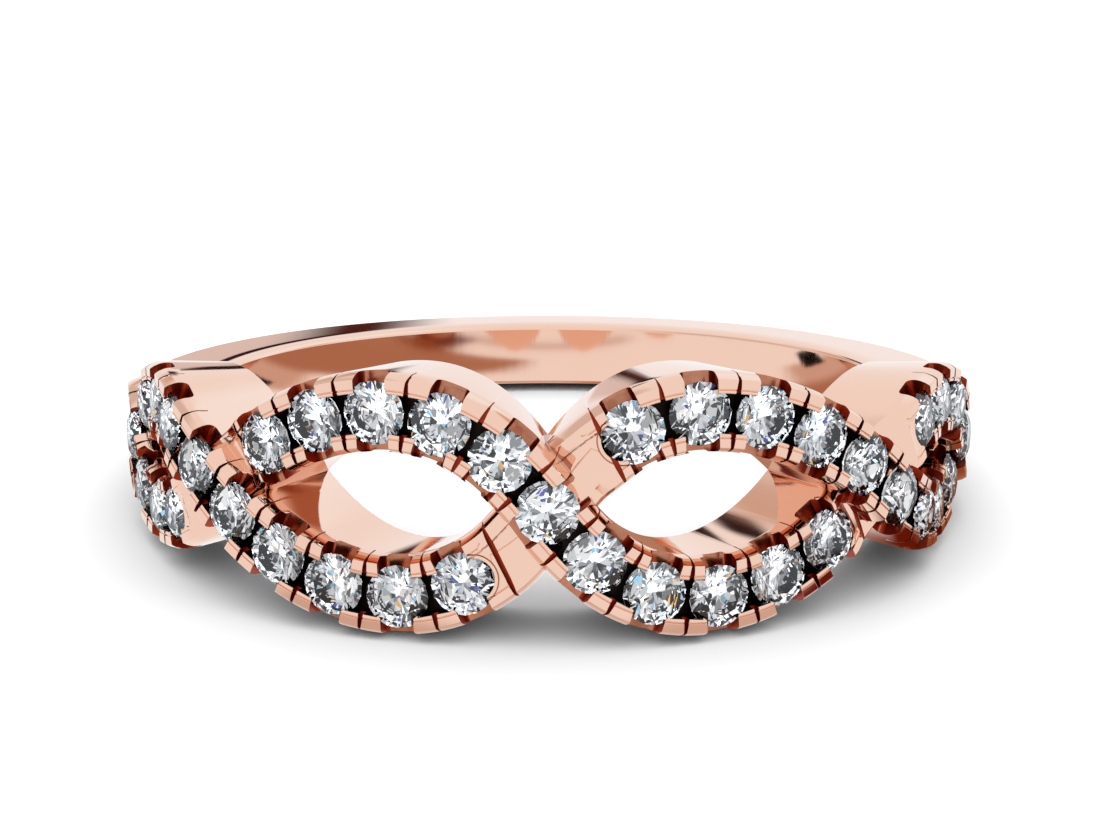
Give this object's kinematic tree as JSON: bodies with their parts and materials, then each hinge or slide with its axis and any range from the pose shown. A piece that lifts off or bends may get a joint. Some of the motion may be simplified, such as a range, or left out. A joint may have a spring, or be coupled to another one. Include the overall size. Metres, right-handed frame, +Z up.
{
  "type": "infinity ring",
  "caption": "Finger ring whose front half is two strands woven over and under each other, each set with a row of round stones in split prongs; lies on its side.",
  "frame": {"origin": "middle of the box's underside, on the surface that the ring rests on", "axes": "+X to the viewer's right along the front, -Y out of the woven front, +Z up from the surface; the finger axis leans 5.6 degrees from +Z towards +Y"},
  "size_m": [0.021, 0.022, 0.0058],
  "materials": {
    "gold": "polished",
    "diamond": "polished"
  },
  "bodies": {
    "root": {"gold_ring": "gold", "stone_mid": "diamond", "stone_over_l1": "diamond", "stone_over_l2": "diamond", "stone_over_l3": "diamond", "stone_over_l4": "diamond", "stone_over_l5": "diamond", "stone_over_r1": "diamond", "stone_over_r2": "diamond", "stone_over_r3": "diamond", "stone_over_r4": "diamond", "stone_over_r5": "diamond", "stone_under_l1": "diamond", "stone_under_l2": "diamond", "stone_under_l3": "diamond", "stone_under_l4": "diamond", "stone_under_l5": "diamond", "stone_under_l6": "diamond", "stone_under_l7": "diamond", "stone_under_l8": "diamond", "stone_under_l9": "diamond", "stone_under_r1": "diamond", "stone_under_r2": "diamond", "stone_under_r3": "diamond", "stone_under_r4": "diamond", "stone_under_r5": "diamond", "stone_under_r6": "diamond", "stone_under_r7": "diamond", "stone_under_r8": "diamond", "stone_under_r9": "diamond", "stone_side_l1": "diamond", "stone_side_l2": "diamond", "stone_side_l3": "diamond", "stone_side_l4": "diamond", "stone_side_r1": "diamond", "stone_side_r2": "diamond", "stone_side_r3": "diamond", "stone_side_r4": "diamond"}
  },
  "joints": []
}
